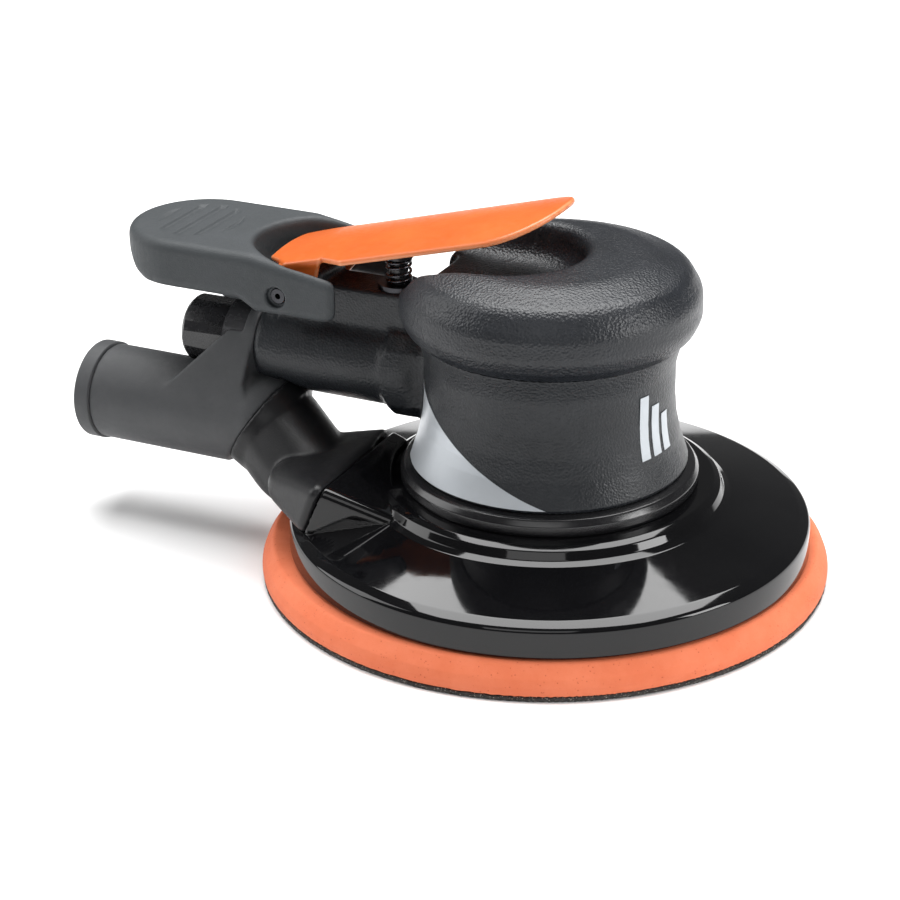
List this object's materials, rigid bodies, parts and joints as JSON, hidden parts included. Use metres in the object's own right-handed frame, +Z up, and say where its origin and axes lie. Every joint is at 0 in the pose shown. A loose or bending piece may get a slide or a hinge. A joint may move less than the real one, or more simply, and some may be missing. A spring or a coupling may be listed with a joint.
{
  "type": "orbital sander",
  "caption": "Palm-grip pneumatic random orbital sander with a soft pad, dust shroud, rear hose outlet, wrist rest and a sprung throttle lever.",
  "frame": {"origin": "where the motor axis meets the pad's working face", "axes": "-X along the handle towards the air inlet, +Z up along the motor axis away from the work, +Y to the side with the speed regulator"},
  "size_m": [0.209, 0.152, 0.1028],
  "materials": {
    "hook_fabric": "hook-and-loop knit",
    "orange_foam": "matt cellular foam",
    "pad_backing": "glass-filled, satin",
    "steel": "turned and ground",
    "bearing_steel": "ground",
    "black_steel": "oiled",
    "motor_aluminium": "machined",
    "vane_phenolic": "woven phenolic",
    "cylinder_iron": "honed",
    "o_ring_rubber": "matt",
    "housing_composite": "fine leather grain",
    "cap_composite": "soft touch, fine leather grain",
    "silver_decal": "satin silver film",
    "lock_ring_plastic": "semi-gloss",
    "shroud_plastic": "polished gloss",
    "elbow_plastic": "satin",
    "manifold_plastic": "matt spark texture",
    "brass": "turned",
    "inlet_black": "satin black",
    "screen_steel": "woven",
    "rest_rubber": "matt overmould",
    "lever_orange": "semi-gloss powder coat",
    "plunger_black": "satin",
    "spring_steel": "dark wire",
    "regulator_steel": "knurled"
  },
  "bodies": {
    "motor_housing": {"housing": "housing_composite", "grip_cap": "cap_composite", "side_decal": "silver_decal", "badge_decal": "silver_decal", "lock_ring": "lock_ring_plastic", "shroud_clip": "black_steel", "vacuum_shroud": "shroud_plastic", "vacuum_elbow": "elbow_plastic", "elbow_seal": "o_ring_rubber", "vacuum_manifold": "manifold_plastic", "hose_collar": "manifold_plastic", "venturi_nozzle": "brass", "inlet_bushing": "inlet_black", "inlet_screen": "screen_steel", "inlet_o_ring": "o_ring_rubber", "wrist_rest": "rest_rubber", "lever_pin": "black_steel", "valve_seat": "brass", "valve_bushing": "black_steel", "valve_spring": "spring_steel", "front_end_plate": "motor_aluminium", "motor_retainer": "motor_aluminium", "motor_cylinder": "cylinder_iron", "cylinder_dowel": "steel", "rear_end_plate": "motor_aluminium", "rear_bearing": "bearing_steel", "front_bearing": "bearing_steel", "wave_washer": "steel", "motor_o_ring": "o_ring_rubber"},
    "lever": {"throttle_lever": "lever_orange"},
    "valve_stem": {"valve_plunger": "plunger_black", "plunger_clip": "black_steel", "plunger_o_ring": "o_ring_rubber", "tip_valve": "brass"},
    "regulator": {"speed_regulator": "regulator_steel", "regulator_o_ring": "o_ring_rubber"},
    "rotor_shaft": {"shaft_balancer": "steel", "rotor": "motor_aluminium", "rotor_vanes": "vane_phenolic", "rotor_key": "steel", "shaft_clip": "black_steel", "bearing_clip": "black_steel", "dust_shield": "black_steel", "spindle_bearings": "bearing_steel"},
    "sanding_pad": {"hook_face": "hook_fabric", "pad_foam": "orange_foam", "pad_hub": "pad_backing", "pad_stud": "steel", "pad_spindle": "steel", "spindle_nut": "steel"}
  },
  "joints": [
    {"name": "lever_hinge", "type": "hinge", "parent": "motor_housing", "child": "lever", "pos_m": [-0.07, 0, 0.073], "axis": [0, 1, 0], "range_deg": [0, 6.5], "stiffness_Nm_per_rad": 0.25, "springref_deg": -5.73},
    {"name": "valve_slide", "type": "slide", "parent": "motor_housing", "child": "valve_stem", "axis": [0, 0, -1], "range_m": [0, 0.0034], "stiffness_N_per_m": 100, "springref_m": -0.001, "deforming": ["valve_spring"]},
    {"name": "regulator_turn", "type": "hinge", "parent": "motor_housing", "child": "regulator", "pos_m": [-0.036, 0.0156, 0.0565], "axis": [0, 1, 0], "range_deg": [0, 90]},
    {"name": "rotor_spin", "type": "hinge", "parent": "motor_housing", "child": "rotor_shaft", "pos_m": [0, 0, 0.03], "axis": [0, 0, 1], "continuous": true},
    {"name": "pad_spin", "type": "hinge", "parent": "rotor_shaft", "child": "sanding_pad", "pos_m": [-0.002, 0.0015, 0.01], "axis": [0, 0, 1], "continuous": true}
  ],
  "couplings": [
    {"joint": "valve_slide", "follows": "lever_hinge", "m_per_rad": 0.0272}
  ]
}
